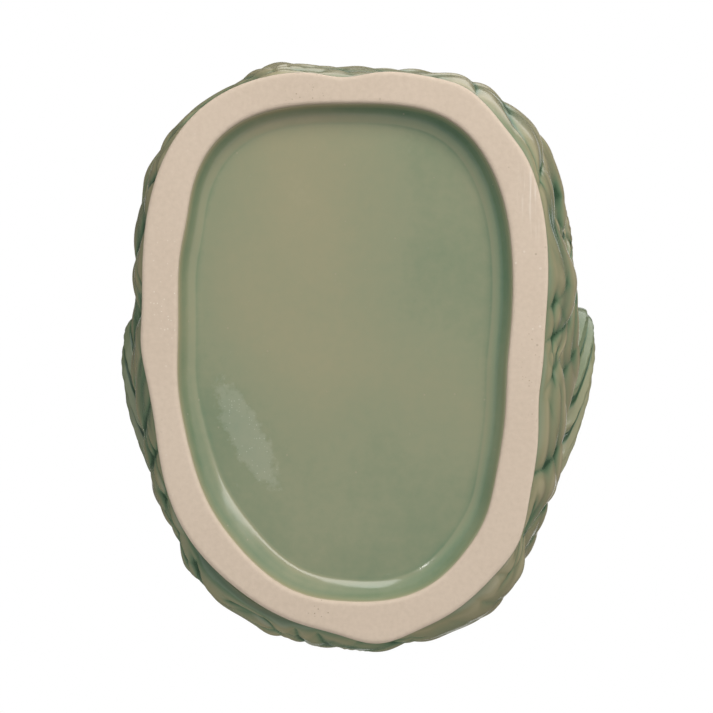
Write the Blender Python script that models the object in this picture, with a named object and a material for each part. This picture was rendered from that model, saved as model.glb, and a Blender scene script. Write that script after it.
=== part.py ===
"""Fish-shaped pouring jug: a glazed fish standing upright, mouth open to pour, tail as handle.

Metres, +Z up. The fish looks towards -Y, its tail curls up behind at +Y, and the foot rests on z = 0.
The skin is lofted through ribs. Most pieces are laid on it by an angle u round the body (0 at the
fish's own left, +X, and 90 degrees at its back), a rib position s (0 at the foot, 9 at the lips) and
a height above the skin.
"""
import bpy
import bmesh
import numpy as np
from math import pi, radians

MM = 0.001

# Ribs of the body in millimetres: front y, front z, back y, back z, half width
RIBS = MM * np.array([
    (-57.0, 7.0, 57.0, 7.0, 40.0),
    (-58.5, 24.0, 59.0, 24.0, 43.0),
    (-61.5, 48.0, 56.0, 46.0, 47.0),
    (-63.5, 74.0, 37.0, 70.0, 49.0),
    (-60.5, 101.0, 21.5, 98.0, 47.5),
    (-53.5, 129.0, 15.5, 130.0, 42.5),
    (-47.5, 154.0, 15.5, 163.0, 38.5),
    (-47.5, 172.0, 20.0, 192.0, 38.5),
    (-54.5, 187.0, 16.0, 216.0, 38.0),
    (-64.5, 198.0, -1.5, 233.5, 34.5),
])
# Squareness of each rib (2 is an ellipse) and how much wider it is in front than behind
RIB_SHAPE = np.array([
    (2.70, 0.095), (2.45, 0.08), (2.30, 0.08), (2.20, 0.08), (2.10, 0.10),
    (2.05, 0.10), (2.00, 0.08), (2.00, 0.05), (2.05, 0.00), (2.10, -0.05),
])
# Swells of the head, the same on both sides: angle and rib, their spreads, height
HEAD_SWELLS = ((radians(32), 7.85, radians(27), 0.55, 3.4 * MM),
               (radians(-28), 7.5, radians(34), 0.6, 2.0 * MM))
S_LIP = len(RIBS) - 1
S_NECK = 6.35

WALL = 4.5 * MM
LUTE_GAP = 0.4 * MM
SKIN_AROUND = 56
HEAD_AROUND = 36
CAVITY_AROUND = 24

# Foot ring and sunk panel
FOOT_HALF_WIDTH = 42.2 * MM
FOOT_HALF_LENGTH = 59.5 * MM
FOOT_SQUARE = 2.76
FOOT_HEIGHT = 6.6 * MM
FOOT_EDGE = 0.9 * MM
RECESS_HALF_WIDTH = 34.5 * MM
RECESS_HALF_LENGTH = 52.3 * MM
RECESS_SQUARE = 2.87
FOOT_EGG = 0.095
FOOT_AROUND = 68
PANEL_RISE = 4.6 * MM
PANEL_FILLET = 3.6 * MM
PANEL_EDGE_RISE = 1.6 * MM
PANEL_TOP = 11.0 * MM
PANEL_PLAY = 1.2 * MM
# Hand-shaped swells of the two outlines: bearing and spread in degrees, height in millimetres
FOOT_SWELLS = ((-90, 6, -1.5), (-66, 5, 0.6), (-54, 6, -0.7), (-6, 14, -0.5), (14, 9, -0.8), (45, 20, 0.7),
               (48, 8, 1.4), (84, 7, 2.0), (113, 18, -3.5), (158, 12, -0.5), (182, 9, 0.9))
RECESS_SWELLS = ((-140, 8, -0.8), (-120, 12, 0.5), (-66, 10, 0.5), (5, 14, -0.4), (50, 8, 0.7),
                 (115, 16, -2.7), (168, 19, 1.2))

# Wave skirt round the foot: two tiers of breaking waves, each tier's edge standing over the next
WAVES = 10
WAVE_FOOT = 0.02
WAVE_EDGES = (0.70, 1.30)
WAVE_CREST = 0.48
WAVE_THIN = 1.1 * MM
WAVE_THICK = (4.3 * MM, 3.6 * MM)
WAVE_STEEP = 1.7
WAVE_LEAN = 0.22
WAVE_CORNER = 0.4
WAVE_CORNERS = (radians(-40), radians(220))
WAVE_CORNER_SPREAD = radians(18)
SKIRT_AROUND = 60

# Scales: columns round the body, rows down it, and the step at each free edge
SCALE_COLUMNS = 14
SCALE_ROWS = 8
SCALE_TOP = 6.0
SCALE_PITCH = 0.53
SCALE_STEP = 1.7 * MM

# Fins laid on the body: root angle u and rib s, ray directions from straight down and how far they
# sweep back towards the tip, in degrees, length, lift, number of rays
PECTORAL = dict(u=radians(13), s=3.8, rays=(-26, 22), sweep=18, length=53 * MM, lift=6.0 * MM, count=8)
PELVIC = dict(u=radians(-62), s=3.2, rays=(-24, 20), sweep=14, length=33 * MM, lift=2.2 * MM, count=5)
FIN_EDGE = 0.7 * MM
FIN_RAY = 0.8 * MM
FIN_ROOT = 0.16
FIN_ROUNDING = 0.22
FIN_SCALLOP = 0.07
FIN_FULL_LIFT = 0.75
RIB_PITCH = 27 * MM
SKIN_RADIUS = 47 * MM

# Head pieces
GILL_U, GILL_S = radians(-8), 6.72
GILL_SPAN_U, GILL_SPAN_S = radians(42), 0.82
GILL_SEAT = 0.8 * MM
GILL_EDGE = 0.9 * MM
GILL_LIFT = 2.2 * MM
GILL_AROUND = 20
EYE_U, EYE_S = radians(30), 7.85
EYE_RADIUS = 9.0 * MM
EYE_HEIGHT = 4.2 * MM
EYE_AROUND = 16
HEAD_RADIUS = 36 * MM
HEAD_PITCH = 22 * MM
LIP_INSIDE = -6.0 * MM
LIP_OUTSIDE = 3.2 * MM
LIP_HEIGHT = 6.0 * MM
LIP_CORNER_REACH = 0.4
LIP_CORNER_HEIGHT = 0.45
LIP_BLUNT = 0.35
LIP_SECTIONS = 21
SPOUT_REACH = 5.2 * MM
SPOUT_SPREAD = radians(34)
UPPER_LIP_ENDS = (radians(21), radians(159))
LOWER_LIP_ENDS = (radians(160), radians(380))
DORSAL_SPAN = (7.25, 8.65)
DORSAL_HEIGHT = 13 * MM
DORSAL_HALF_ANGLE = radians(9)
DORSAL_SPINES = 6
DORSAL_WEB = 0.28
DORSAL_ENDS = 0.15

# Tail in millimetres: y, z, half depth, half width
TAIL = MM * np.array([
    (30.0, 38.0, 22.0, 29.0),
    (45.5, 57.0, 18.0, 23.0),
    (56.0, 82.0, 14.5, 16.0),
    (59.5, 108.0, 12.0, 12.5),
    (58.5, 132.0, 11.5, 10.5),
    (54.5, 152.0, 12.0, 9.5),
])
TAIL_AROUND = 24
TAIL_SCALE_COLUMNS = 6
TAIL_SCALE_ROWS = 7
TAIL_SCALE_STEP = 1.0 * MM
TAIL_SCALE_START = 1.0
BORE_WALL = 5.5 * MM
BORE_END = 4.6
BORE_AROUND = 16
TAIL_FIN_LENGTH = 44 * MM
TAIL_FIN_SPREAD = 28.2 * MM
TAIL_FIN_TIP = 2.8 * MM
TAIL_FIN_NOTCH = 0.30
TAIL_FIN_RAYS = 9
TAIL_FIN_RIDGE = 0.16
TAIL_FIN_SCALLOP = 0.03


def along(table, s):
    """Smooth row of a table at fractional position s."""
    last = len(table) - 1
    s = np.clip(np.asarray(s, float), 0, last)
    i = np.minimum(s.astype(int), last - 1)
    f = (s - i)[..., None]
    a = table[np.maximum(i - 1, 0)]
    b = table[i]
    c = table[i + 1]
    d = table[np.minimum(i + 2, last)]
    return b + 0.5 * f * (c - a + f * (2 * a - 5 * b + 4 * c - d + f * (3 * (b - c) + d - a)))


def oval(u, square):
    """Points of a unit superellipse at angle u."""
    r = (np.abs(np.cos(u)) ** square + np.abs(np.sin(u)) ** square) ** (-1 / square)
    return r * np.cos(u), r * np.sin(u)


def skin(u, s, grow=0.0):
    """Points at angle u and rib position s, moved out of the skin by grow."""
    u, s, grow = np.broadcast_arrays(u, s, grow)
    front_y, front_z, back_y, back_z, half_width = np.moveaxis(along(RIBS, s), -1, 0)
    square, egg = np.moveaxis(along(RIB_SHAPE, s), -1, 0)
    for at, rib, wide, long, high in HEAD_SWELLS:
        both_sides = bump(u, at, wide) + bump(u, pi - at, wide)
        grow = grow + high * both_sides * np.exp(-((s - rib) / long) ** 2)
    across, ahead = oval(u, square)
    half_y = (back_y - front_y) / 2
    half_z = (back_z - front_z) / 2
    stretch = ahead * (1 + grow / np.hypot(half_y, half_z))
    x = (half_width + grow) * across * (1 - egg * ahead)
    y = (front_y + back_y) / 2 + half_y * stretch
    z = (front_z + back_z) / 2 + half_z * stretch
    return np.stack([x, y, z], axis=-1)


def turn(count):
    """Angles evenly round a turn, mirrored about zero."""
    return (np.arange(count) + 0.5) * 2 * pi / count


def bump(u, centre, spread):
    """Smooth hill of height 1 round an angle."""
    away = (u - centre + pi) % (2 * pi) - pi
    return np.exp(-(away / spread) ** 2)


def loft(rings, wrap=False):
    """Vertices and faces of a closed skin through like rings, its ends capped by strips."""
    rows, cols = rings.shape[:2]
    faces = []
    for r in range(rows if wrap else rows - 1):
        here = r * cols
        there = (r + 1) % rows * cols
        for c in range(cols):
            d = (c + 1) % cols
            faces.append((here + c, here + d, there + d, there + c))
    if not wrap:
        for start in (0, (rows - 1) * cols):
            for c in range(cols // 2 - 1):
                far = start + cols - 1 - c
                faces.append((start + c, start + c + 1, far - 1, far))
    return rings.reshape(-1, 3), faces


def sheet(outer, inner):
    """Rings of a closed slab between two like grids."""
    return np.concatenate([outer, inner[:, ::-1]], axis=1)


def material(name, colour, roughness):
    """Principled material."""
    made = bpy.data.materials.new(name)
    made.use_nodes = True
    shader = made.node_tree.nodes["Principled BSDF"]
    shader.inputs["Base Color"].default_value = (*colour, 1.0)
    shader.inputs["Roughness"].default_value = roughness
    shader.inputs["Metallic"].default_value = 0.0
    return made


def solid(name, skin_data, finish, collection):
    """Named object from vertices and faces, facing out and shaded smooth."""
    verts, faces = skin_data
    mesh = bpy.data.meshes.new(name)
    mesh.from_pydata([tuple(v) for v in verts], [], faces)
    made = bpy.data.objects.new(name, mesh)
    collection.objects.link(made)
    bm = bmesh.new()
    bm.from_mesh(mesh)
    bmesh.ops.remove_doubles(bm, verts=bm.verts, dist=1e-6)
    bmesh.ops.recalc_face_normals(bm, faces=bm.faces)
    for face in bm.faces:
        face.smooth = True
    bm.to_mesh(mesh)
    bm.free()
    if finish:
        mesh.materials.append(finish)
    return made


def cutter(name, skin_data, collection):
    """Solid used only to cut others."""
    made = solid(name, skin_data, None, collection)
    made.hide_render = True
    made.display_type = "WIRE"
    return made


def cut(target, tool):
    """Take one solid out of another."""
    boolean = target.modifiers.new("cut_" + tool.name, "BOOLEAN")
    boolean.operation = "DIFFERENCE"
    boolean.solver = "EXACT"
    boolean.object = tool


def ring_outline(u, half_width, half_length, square, swells):
    """Hand-shaped oval of the foot at angle u, as x and y."""
    across, ahead = oval(u, square)
    x = half_width * across * (1 - FOOT_EGG * ahead)
    y = half_length * ahead
    bearing = np.arctan2(y, x)
    swell = sum(MM * high * bump(bearing, radians(at), radians(wide)) for at, wide, high in swells)
    stretch = 1 + swell / np.hypot(x, y)
    return x * stretch, y * stretch


def foot_outline(u, grow):
    """Outer outline of the foot ring."""
    return ring_outline(u, FOOT_HALF_WIDTH + grow, FOOT_HALF_LENGTH + grow, FOOT_SQUARE, FOOT_SWELLS)


def recess_outline(u, grow):
    """Outline of the sunk panel where it meets the foot ring."""
    return ring_outline(u, RECESS_HALF_WIDTH + grow, RECESS_HALF_LENGTH + grow, RECESS_SQUARE, RECESS_SWELLS)


def level_ring(xy, z):
    """Ring of points at one height."""
    return np.stack([xy[0], xy[1], np.full_like(xy[0], z)], axis=-1)


def foot_ring_rings():
    """Section of the foot ring carried round its outline: outside, flat bottom, inside."""
    u = turn(FOOT_AROUND)
    soft = 0.3 * FOOT_EDGE
    return np.stack([
        level_ring(foot_outline(u, -FOOT_EDGE), FOOT_HEIGHT),
        level_ring(foot_outline(u, 0), FOOT_EDGE),
        level_ring(foot_outline(u, -soft), soft),
        level_ring(foot_outline(u, -FOOT_EDGE), 0),
        level_ring(recess_outline(u, FOOT_EDGE), 0),
        level_ring(recess_outline(u, soft), soft),
        level_ring(recess_outline(u, 0), FOOT_EDGE),
        level_ring(recess_outline(u, 0), FOOT_HEIGHT),
    ])


def base_panel_rings():
    """Panel with a hollow fillet below, plugging the foot ring and the bottom of the trunk."""
    u = turn(FOOT_AROUND)
    fillet = []
    for step in (1.0, 0.65, 0.3, 0.0):
        inset = PANEL_FILLET * step
        rise = PANEL_RISE - (PANEL_RISE - PANEL_EDGE_RISE) * (1 - step) ** 2
        fillet.append(level_ring(recess_outline(u, -LUTE_GAP - inset), rise))
    plug = skin(u, 0.0, -WALL - PANEL_PLAY)
    sides = [level_ring(recess_outline(u, -LUTE_GAP), FOOT_HEIGHT),
             level_ring((plug[:, 0], plug[:, 1]), FOOT_HEIGHT + LUTE_GAP),
             level_ring((plug[:, 0], plug[:, 1]), PANEL_TOP)]
    return np.stack(fillet + sides)


def wave(phase):
    """Hump that rises slowly and falls fast, once for each whole phase."""
    return np.sin(pi * (phase % 1) ** WAVE_STEEP)


def skirt_rings():
    """Two tiers of wave crests round the foot, one section for each angle."""
    u = turn(SKIRT_AROUND)
    phase = u * WAVES / (2 * pi)
    low = WAVE_EDGES[0] + WAVE_CREST * wave(phase)
    high = WAVE_EDGES[1] + WAVE_CREST * wave(phase + 0.5)
    corners = sum(bump(u, at, WAVE_CORNER_SPREAD) for at in WAVE_CORNERS)
    heavy = 1 + WAVE_LEAN * np.sin(u) + WAVE_CORNER * corners
    outer = [(WAVE_FOOT + 0 * u, WAVE_THIN),
             (0.4 * low, 0.85 * WAVE_THICK[0] * heavy),
             (low, WAVE_THICK[0] * heavy),
             (low, WAVE_THIN),
             ((low + high) / 2, 0.8 * WAVE_THICK[1] * heavy),
             (high, WAVE_THICK[1] * heavy)]
    seat = [WAVE_FOOT + (high - WAVE_FOOT) * share for share in (1.0, 0.7, 0.35, 0.0)]
    lines = [skin(u, s, LUTE_GAP + thick) for s, thick in outer]
    lines += [skin(u, s, LUTE_GAP) for s in seat]
    return np.stack(lines, axis=1)


def scale_edge(column, row):
    """Row position of the rounded free edge of a row of scales."""
    off = np.abs((column + 0.5 * (row % 2)) % 1 - 0.5)
    return row + 0.5 + 0.5 * np.sqrt(np.maximum(0, 1 - (2 * off) ** 2))


def scale_lines(column, rows):
    """Lines of points down a scaled skin: row position and share of the step that each lies below."""
    lines = [(np.zeros_like(column), 0.0)]
    for row in range(rows):
        above = scale_edge(column, row - 1) if row else np.full_like(column, 0.15)
        edge = scale_edge(column, row)
        for share, drop in ((0.0, 1.0), (0.5, 0.35), (1.0, 0.0)):
            lines.append((above + (edge - above) * share, drop))
    return lines


def trunk_rings():
    """Trunk from the foot to the neck with overlapping scales."""
    u = turn(SKIN_AROUND)
    column = u * SCALE_COLUMNS / (2 * pi)
    rings = [skin(u, S_NECK)]
    for row, drop in scale_lines(column, SCALE_ROWS):
        rings.append(skin(u, SCALE_TOP - SCALE_PITCH * row, -SCALE_STEP * drop))
    for s in (1.2, 0.6, 0.0):
        rings.append(skin(u, s))
    return np.stack(rings)


def head_rings():
    """Head from the neck to the rim of the mouth."""
    u = turn(HEAD_AROUND)
    joint = S_NECK + LUTE_GAP / RIB_PITCH
    return np.stack([skin(u, s) for s in np.linspace(joint, S_LIP, 12)])


def mouth_way(distance):
    """Step out of the mouth, square to the plane of its rim."""
    front_y, front_z, back_y, back_z = RIBS[S_LIP][:4]
    way = np.array([0.0, front_z - back_z, back_y - front_y])
    return way / np.linalg.norm(way) * distance


def cavity_rings():
    """Water space inside the wall, run out past the foot and the mouth."""
    u = turn(CAVITY_AROUND)
    rings = [skin(u, 0.0, -WALL) - (0, 0, WALL)]
    rings += [skin(u, s, -WALL) for s in np.linspace(0.3, S_LIP - 0.3, 13)]
    rings.append(skin(u, S_LIP, -WALL) + mouth_way(2 * WALL))
    return np.stack(rings)


def envelope_rings():
    """Outside of the body with the luting gap added, to trim what is joined to it."""
    u = turn(SKIN_AROUND)
    return np.stack([skin(u, s, LUTE_GAP) for s in np.linspace(0, S_LIP, 37)])


def lip_rings(ends, reach):
    """Rolled lip on the rim of the mouth between two angles."""
    u = np.linspace(*ends, LIP_SECTIONS)[:, None]
    arc = np.linspace(0, pi, 10)
    taper = np.sin(np.linspace(0, pi, LIP_SECTIONS))[:, None] ** LIP_BLUNT
    spout = reach * bump(u, radians(270), SPOUT_SPREAD)
    out = LIP_OUTSIDE * (LIP_CORNER_REACH + (1 - LIP_CORNER_REACH) * taper) + spout
    grow = (LIP_INSIDE + out) / 2 + (out - LIP_INSIDE) / 2 * np.cos(arc)
    high = LUTE_GAP + LIP_HEIGHT * (LIP_CORNER_HEIGHT + (1 - LIP_CORNER_HEIGHT) * taper) * np.sin(arc)
    return skin(u, S_LIP, grow) + high[..., None] * mouth_way(1.0)


def gill_rings():
    """Gill plate: thin towards the mouth, raised and ridged at its free edge."""
    round_ = turn(GILL_AROUND)
    tailward = (1 - np.sin(round_)) / 2
    edge = GILL_EDGE + GILL_LIFT * tailward
    profile = [(0.08, 0), (0.4, 0), (0.7, 0), (1.0, 0), (1.0, edge), (0.93, edge + 0.7 * MM),
               (0.8, edge + 0.5 * MM), (0.7, edge - 0.2 * MM), (0.56, edge + 0.5 * MM),
               (0.25, edge + 0.4 * MM)]
    rings = []
    for share, high in profile:
        u = GILL_U + GILL_SPAN_U * share * np.cos(round_) * (0.8 + 0.4 * tailward)
        s = GILL_S + GILL_SPAN_S * share * np.sin(round_)
        rings.append(skin(u, s, GILL_SEAT + high))
    return np.stack(rings)


def eye_rings():
    """Domed eye within a raised rim."""
    round_ = turn(EYE_AROUND)
    profile = [(0.3, 0), (1.0, 0), (1.0, 0.20), (0.93, 0.42), (0.82, 0.46), (0.74, 0.36),
               (0.66, 0.58), (0.50, 0.82), (0.30, 0.95), (0.10, 1.0)]
    rings = []
    for share, high in profile:
        u = EYE_U + EYE_RADIUS / HEAD_RADIUS * share * np.cos(round_)
        s = EYE_S + EYE_RADIUS / HEAD_PITCH * share * np.sin(round_)
        rings.append(skin(u, s, LUTE_GAP + EYE_HEIGHT * high))
    return np.stack(rings)


def fin_rings(fin):
    """Fan of rays laid on the body, lifted towards its rounded tip."""
    first, last = fin["rays"]
    across = np.linspace(-1, 1, 2 * fin["count"] - 1)
    ridge = np.arange(len(across)) % 2
    length = fin["length"] * (1 - FIN_ROUNDING * np.abs(across) ** 2.5) * (1 - FIN_SCALLOP * ridge)
    out = np.linspace(FIN_ROOT, 1.0, 8)[:, None]
    ray = np.radians((first + last) / 2 + (last - first) / 2 * across + fin["sweep"] * out ** 2)
    u = fin["u"] + out * length * np.sin(ray) / SKIN_RADIUS
    s = fin["s"] - out * length * np.cos(ray) / RIB_PITCH
    lift = fin["lift"] * np.sin(pi / 2 * np.minimum(1, out / FIN_FULL_LIFT)) * (1 - 0.5 * out ** 6)
    thick = FIN_EDGE + lift * (1 - 0.6 * np.abs(across) ** 3) + FIN_RAY * (1 - ridge) * np.sqrt(out)
    return sheet(skin(u, s, LUTE_GAP + thick), skin(u, s, LUTE_GAP))


def dorsal_rings():
    """Crest with spines down the middle of the nape."""
    share = np.linspace(0, 1, 2 * DORSAL_SPINES + 1)[:, None]
    s = DORSAL_SPAN[0] + (DORSAL_SPAN[1] - DORSAL_SPAN[0]) * share
    dip = 1 - DORSAL_WEB * (np.arange(len(share)) % 2)[:, None]
    high = DORSAL_HEIGHT * (DORSAL_ENDS + (1 - DORSAL_ENDS) * np.sin(pi * share ** 1.4)) * dip
    side = np.array([-1.0, -0.62, -0.36, -0.14, 0.14, 0.36, 0.62, 1.0, 0.35, -0.35])
    level = np.array([0.0, 0.35, 0.75, 1.0, 1.0, 0.75, 0.35, 0.0, 0.0, 0.0])
    return skin(pi / 2 - DORSAL_HALF_ANGLE * side, s, LUTE_GAP + high * level)


def tail_frame(at):
    """Centre, way along and way across the tail at a position, in the upright middle plane."""
    centre = along(TAIL[:, :2], at)
    ahead = along(TAIL[:, :2], at + 0.01) - along(TAIL[:, :2], at - 0.01)
    ahead = ahead / np.linalg.norm(ahead, axis=-1, keepdims=True)
    behind = np.stack([ahead[..., 1], -ahead[..., 0]], axis=-1)
    return centre, ahead, behind


def tail_skin(round_, at, grow):
    """Points on the tail at an angle round it and a position along it."""
    round_, at, grow = np.broadcast_arrays(round_, at, grow)
    half_depth, half_width = np.moveaxis(along(TAIL[:, 2:], at), -1, 0)
    centre, _, behind = tail_frame(at)
    middle = centre + behind * ((half_depth + grow) * np.sin(round_))[..., None]
    x = (half_width + grow) * np.cos(round_)
    return np.concatenate([x[..., None], middle], axis=-1)


def tail_rings():
    """Tail from inside the trunk to the root of its fin, scaled towards the fin."""
    round_ = turn(TAIL_AROUND)
    end = len(TAIL) - 1.0
    column = round_ * TAIL_SCALE_COLUMNS / (2 * pi)
    pitch = (end - TAIL_SCALE_START) / (TAIL_SCALE_ROWS + 0.5)
    rings = [tail_skin(round_, at, 0.0) for at in (0.0, 0.5)]
    for row, drop in scale_lines(column, TAIL_SCALE_ROWS):
        rings.append(tail_skin(round_, TAIL_SCALE_START + pitch * row, -TAIL_SCALE_STEP * drop))
    rings.append(tail_skin(round_, end, 0.0))
    return np.stack(rings)


def bore_rings():
    """Air space of the tail, open into the water space and blind at the fin."""
    round_ = turn(BORE_AROUND)
    return np.stack([tail_skin(round_, at, -BORE_WALL) for at in np.linspace(0, BORE_END, 10)])


def tail_fin_rings():
    """Notched fan spreading from the oval end of the tail."""
    end = len(TAIL) - 1.0
    centre, ahead, behind = tail_frame(np.array(end - 0.02))
    half_depth, half_width = TAIL[-1][2:]
    round_ = turn(4 * TAIL_FIN_RAYS)
    side = np.cos(round_)
    ridge = np.cos(TAIL_FIN_RAYS * np.arccos(side))
    rings = []
    for out in (0.0, 0.12, 0.3, 0.5, 0.7, 0.88, 1.0):
        notch = TAIL_FIN_NOTCH * (1 - np.abs(side)) ** 1.3
        length = TAIL_FIN_LENGTH * (1 - notch + TAIL_FIN_SCALLOP * ridge * out)
        spread = half_depth + (TAIL_FIN_SPREAD - half_depth) * out ** 0.85
        thick = half_width + (TAIL_FIN_TIP - half_width) * out ** 0.6
        x = thick * np.sign(np.sin(round_)) * np.abs(np.sin(round_)) ** (1 - 0.5 * out)
        x = x * (1 + TAIL_FIN_RIDGE * ridge * out)
        reach = (LUTE_GAP + length * out)[:, None]
        middle = centre + ahead * reach + behind * (spread * side)[:, None]
        rings.append(np.concatenate([x[:, None], middle], axis=-1))
    return np.stack(rings)


def mirrored(rings):
    """Same rings on the fish's right."""
    return rings * (-1, 1, 1)


def build():
    """Make every piece of the jug."""
    for old in list(bpy.data.objects):
        bpy.data.objects.remove(old)
    jug = bpy.data.collections.new("fish_jug")
    tools = bpy.data.collections.new("cutters")
    for collection in (jug, tools):
        bpy.context.scene.collection.children.link(collection)

    biscuit = material("bare_biscuit", (0.62, 0.51, 0.41), 0.75)
    panel_glaze = material("panel_glaze", (0.27, 0.28, 0.18), 0.18)
    body_glaze = material("body_glaze", (0.30, 0.31, 0.20), 0.2)
    fin_glaze = material("fin_glaze", (0.38, 0.36, 0.24), 0.2)
    eye_glaze = material("eye_glaze", (0.42, 0.39, 0.27), 0.15)

    cavity = cutter("cavity", loft(cavity_rings()), tools)
    envelope = cutter("envelope", loft(envelope_rings()), tools)
    bore = cutter("bore", loft(bore_rings()), tools)

    solid("foot_ring", loft(foot_ring_rings().swapaxes(0, 1), wrap=True), biscuit, jug)
    solid("base_panel", loft(base_panel_rings()), panel_glaze, jug)
    solid("wave_skirt", loft(skirt_rings(), wrap=True), body_glaze, jug)

    trunk = solid("trunk_shell", loft(trunk_rings()), body_glaze, jug)
    cut(trunk, cavity)
    cut(trunk, bore)
    head = solid("head_shell", loft(head_rings()), body_glaze, jug)
    cut(head, cavity)

    solid("upper_lip", loft(lip_rings(UPPER_LIP_ENDS, 0.0)), fin_glaze, jug)
    solid("lower_lip", loft(lip_rings(LOWER_LIP_ENDS, SPOUT_REACH)), fin_glaze, jug)
    for name, rings, finish in (("gill_cover", gill_rings(), fin_glaze),
                                ("eye", eye_rings(), eye_glaze),
                                ("pectoral_fin", fin_rings(PECTORAL), fin_glaze),
                                ("pelvic_fin", fin_rings(PELVIC), fin_glaze)):
        solid("left_" + name, loft(rings), finish, jug)
        solid("right_" + name, loft(mirrored(rings)), finish, jug)
    solid("dorsal_fin", loft(dorsal_rings()), fin_glaze, jug)

    tail = solid("tail_handle", loft(tail_rings()), body_glaze, jug)
    cut(tail, bore)
    cut(tail, envelope)
    tail_fin = solid("tail_fin", loft(tail_fin_rings()), fin_glaze, jug)
    cut(tail_fin, envelope)


build()
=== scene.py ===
"""Looks of the fish-shaped jug: finely modelled glazed pieces in place of the plain solids.

The formulas repeat those of the solids. Pieces are laid on the skin of the fish by an angle u round
the body (0 at the fish's own left, +X, 90 degrees at its back), a rib position s (0 at the foot, 9 at
the lips) and a height above the skin. Metres, +Z up, the mouth towards -Y.
"""
from math import cos, pi, radians, sin
import bpy
import bmesh
import numpy as np
from mathutils import Matrix


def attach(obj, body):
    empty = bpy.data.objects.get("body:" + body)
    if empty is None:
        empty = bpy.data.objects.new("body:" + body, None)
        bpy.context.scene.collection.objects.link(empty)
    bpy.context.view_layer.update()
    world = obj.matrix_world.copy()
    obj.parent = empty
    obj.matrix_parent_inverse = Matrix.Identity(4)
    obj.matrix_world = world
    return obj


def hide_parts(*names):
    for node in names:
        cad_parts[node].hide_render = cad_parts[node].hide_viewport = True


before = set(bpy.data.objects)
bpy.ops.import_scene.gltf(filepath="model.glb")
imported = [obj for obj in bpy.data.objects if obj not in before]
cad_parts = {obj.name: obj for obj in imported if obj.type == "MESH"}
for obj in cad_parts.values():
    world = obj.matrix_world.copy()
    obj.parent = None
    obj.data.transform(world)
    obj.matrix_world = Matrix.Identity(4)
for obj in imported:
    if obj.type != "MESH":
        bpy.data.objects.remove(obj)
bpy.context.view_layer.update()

MM = 0.001

# Ribs of the body in millimetres: front y, front z, back y, back z, half width
RIBS = MM * np.array([
    (-57.0, 7.0, 57.0, 7.0, 40.0),
    (-58.5, 24.0, 59.0, 24.0, 43.0),
    (-61.5, 48.0, 56.0, 46.0, 47.0),
    (-63.5, 74.0, 37.0, 70.0, 49.0),
    (-60.5, 101.0, 21.5, 98.0, 47.5),
    (-53.5, 129.0, 15.5, 130.0, 42.5),
    (-47.5, 154.0, 15.5, 163.0, 38.5),
    (-47.5, 172.0, 20.0, 192.0, 38.5),
    (-54.5, 187.0, 16.0, 216.0, 38.0),
    (-64.5, 198.0, -1.5, 233.5, 34.5),
])
# Squareness of each rib (2 is an ellipse) and how much wider it is in front than behind
RIB_SHAPE = np.array([
    (2.70, 0.095), (2.45, 0.08), (2.30, 0.08), (2.20, 0.08), (2.10, 0.10),
    (2.05, 0.10), (2.00, 0.08), (2.00, 0.05), (2.05, 0.00), (2.10, -0.05),
])
# Swells of the head, the same on both sides: angle and rib, their spreads, height
HEAD_SWELLS = ((radians(32), 7.85, radians(27), 0.55, 3.4 * MM),
               (radians(-28), 7.5, radians(34), 0.6, 2.0 * MM))
S_LIP = len(RIBS) - 1
S_NECK = 6.35
WALL = 4.5 * MM

# Foot ring and sunk panel
FOOT_HEIGHT = 6.6 * MM
FOOT_EGG = 0.095
PANEL_TOP = 11.0 * MM
PANEL_WAVE = 0.10 * MM
# Hand-shaped swells of the two outlines: bearing and spread in degrees, height in millimetres
FOOT_SWELLS = ((-90, 6, -1.5), (-66, 5, 0.6), (-54, 6, -0.7), (-6, 14, -0.5), (14, 9, -0.8), (45, 20, 0.7),
               (48, 8, 1.4), (84, 7, 2.0), (113, 18, -3.5), (158, 12, -0.5), (182, 9, 0.9))
RECESS_SWELLS = ((-140, 8, -0.8), (-120, 12, 0.5), (-66, 10, 0.5), (5, 14, -0.4), (50, 8, 0.7),
                 (115, 16, -2.7), (168, 19, 1.2))
# The two outlines: half width and length in millimetres, squareness, swells
FOOT = (42.2, 59.5, 2.76, FOOT_SWELLS)
RECESS = (34.5, 52.3, 2.87, RECESS_SWELLS)
# Edge of the foot ring in millimetres: how far in from the outline, height
FOOT_ROUNDING = ((0.0, 1.2), (0.02, 0.75), (0.14, 0.40), (0.38, 0.14), (0.75, 0.02), (1.1, 0.0))
# Its outer side above that edge, likewise, and the heights of its inner side
FOOT_FLANK = ((1.2, 7.6), (0.9, 6.6), (0.45, 4.6), (0.1, 2.6))
FOOT_INSIDE = (3.0, 7.6)
# Section of the sunk panel in millimetres: how far in from the recess outline, height, glaze depth (the dark
# band on the wall is pooled glaze and painted shade), and painted shade added towards the mouth and on the
# fish's left, where the walls are turned from the light; below nothing it is painted light
PANEL_SECTION = (
    (-0.3, 1.0, 0.05, 0.0, 0.0), (0.05, 1.2, 0.10, 0.0, -0.03), (0.22, 1.5, 0.28, 0.02, -0.08),
    (0.45, 1.95, 0.45, 0.07, -0.08), (0.75, 2.5, 0.59, 0.13, -0.06), (1.1, 3.0, 0.61, 0.13, -0.03),
    (1.45, 3.45, 0.58, 0.12, 0.02), (1.8, 3.84, 0.53, 0.09, 0.10), (2.1, 4.10, 0.48, 0.05, 0.12),
    (2.4, 4.29, 0.45, 0.0, 0.06), (2.8, 4.48, 0.44, 0.0, -0.04), (3.2, 4.65, 0.45, 0.0, -0.07),
    (3.55, 4.79, 0.51, 0.0, -0.07), (3.75, 4.86, 0.60, 0.0, -0.03), (3.95, 4.90, 0.60, 0.0, 0.0),
    (4.3, 4.93, 0.55, 0.0, 0.0), (5.0, 4.96, 0.51, 0.0, 0.0),
)
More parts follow.
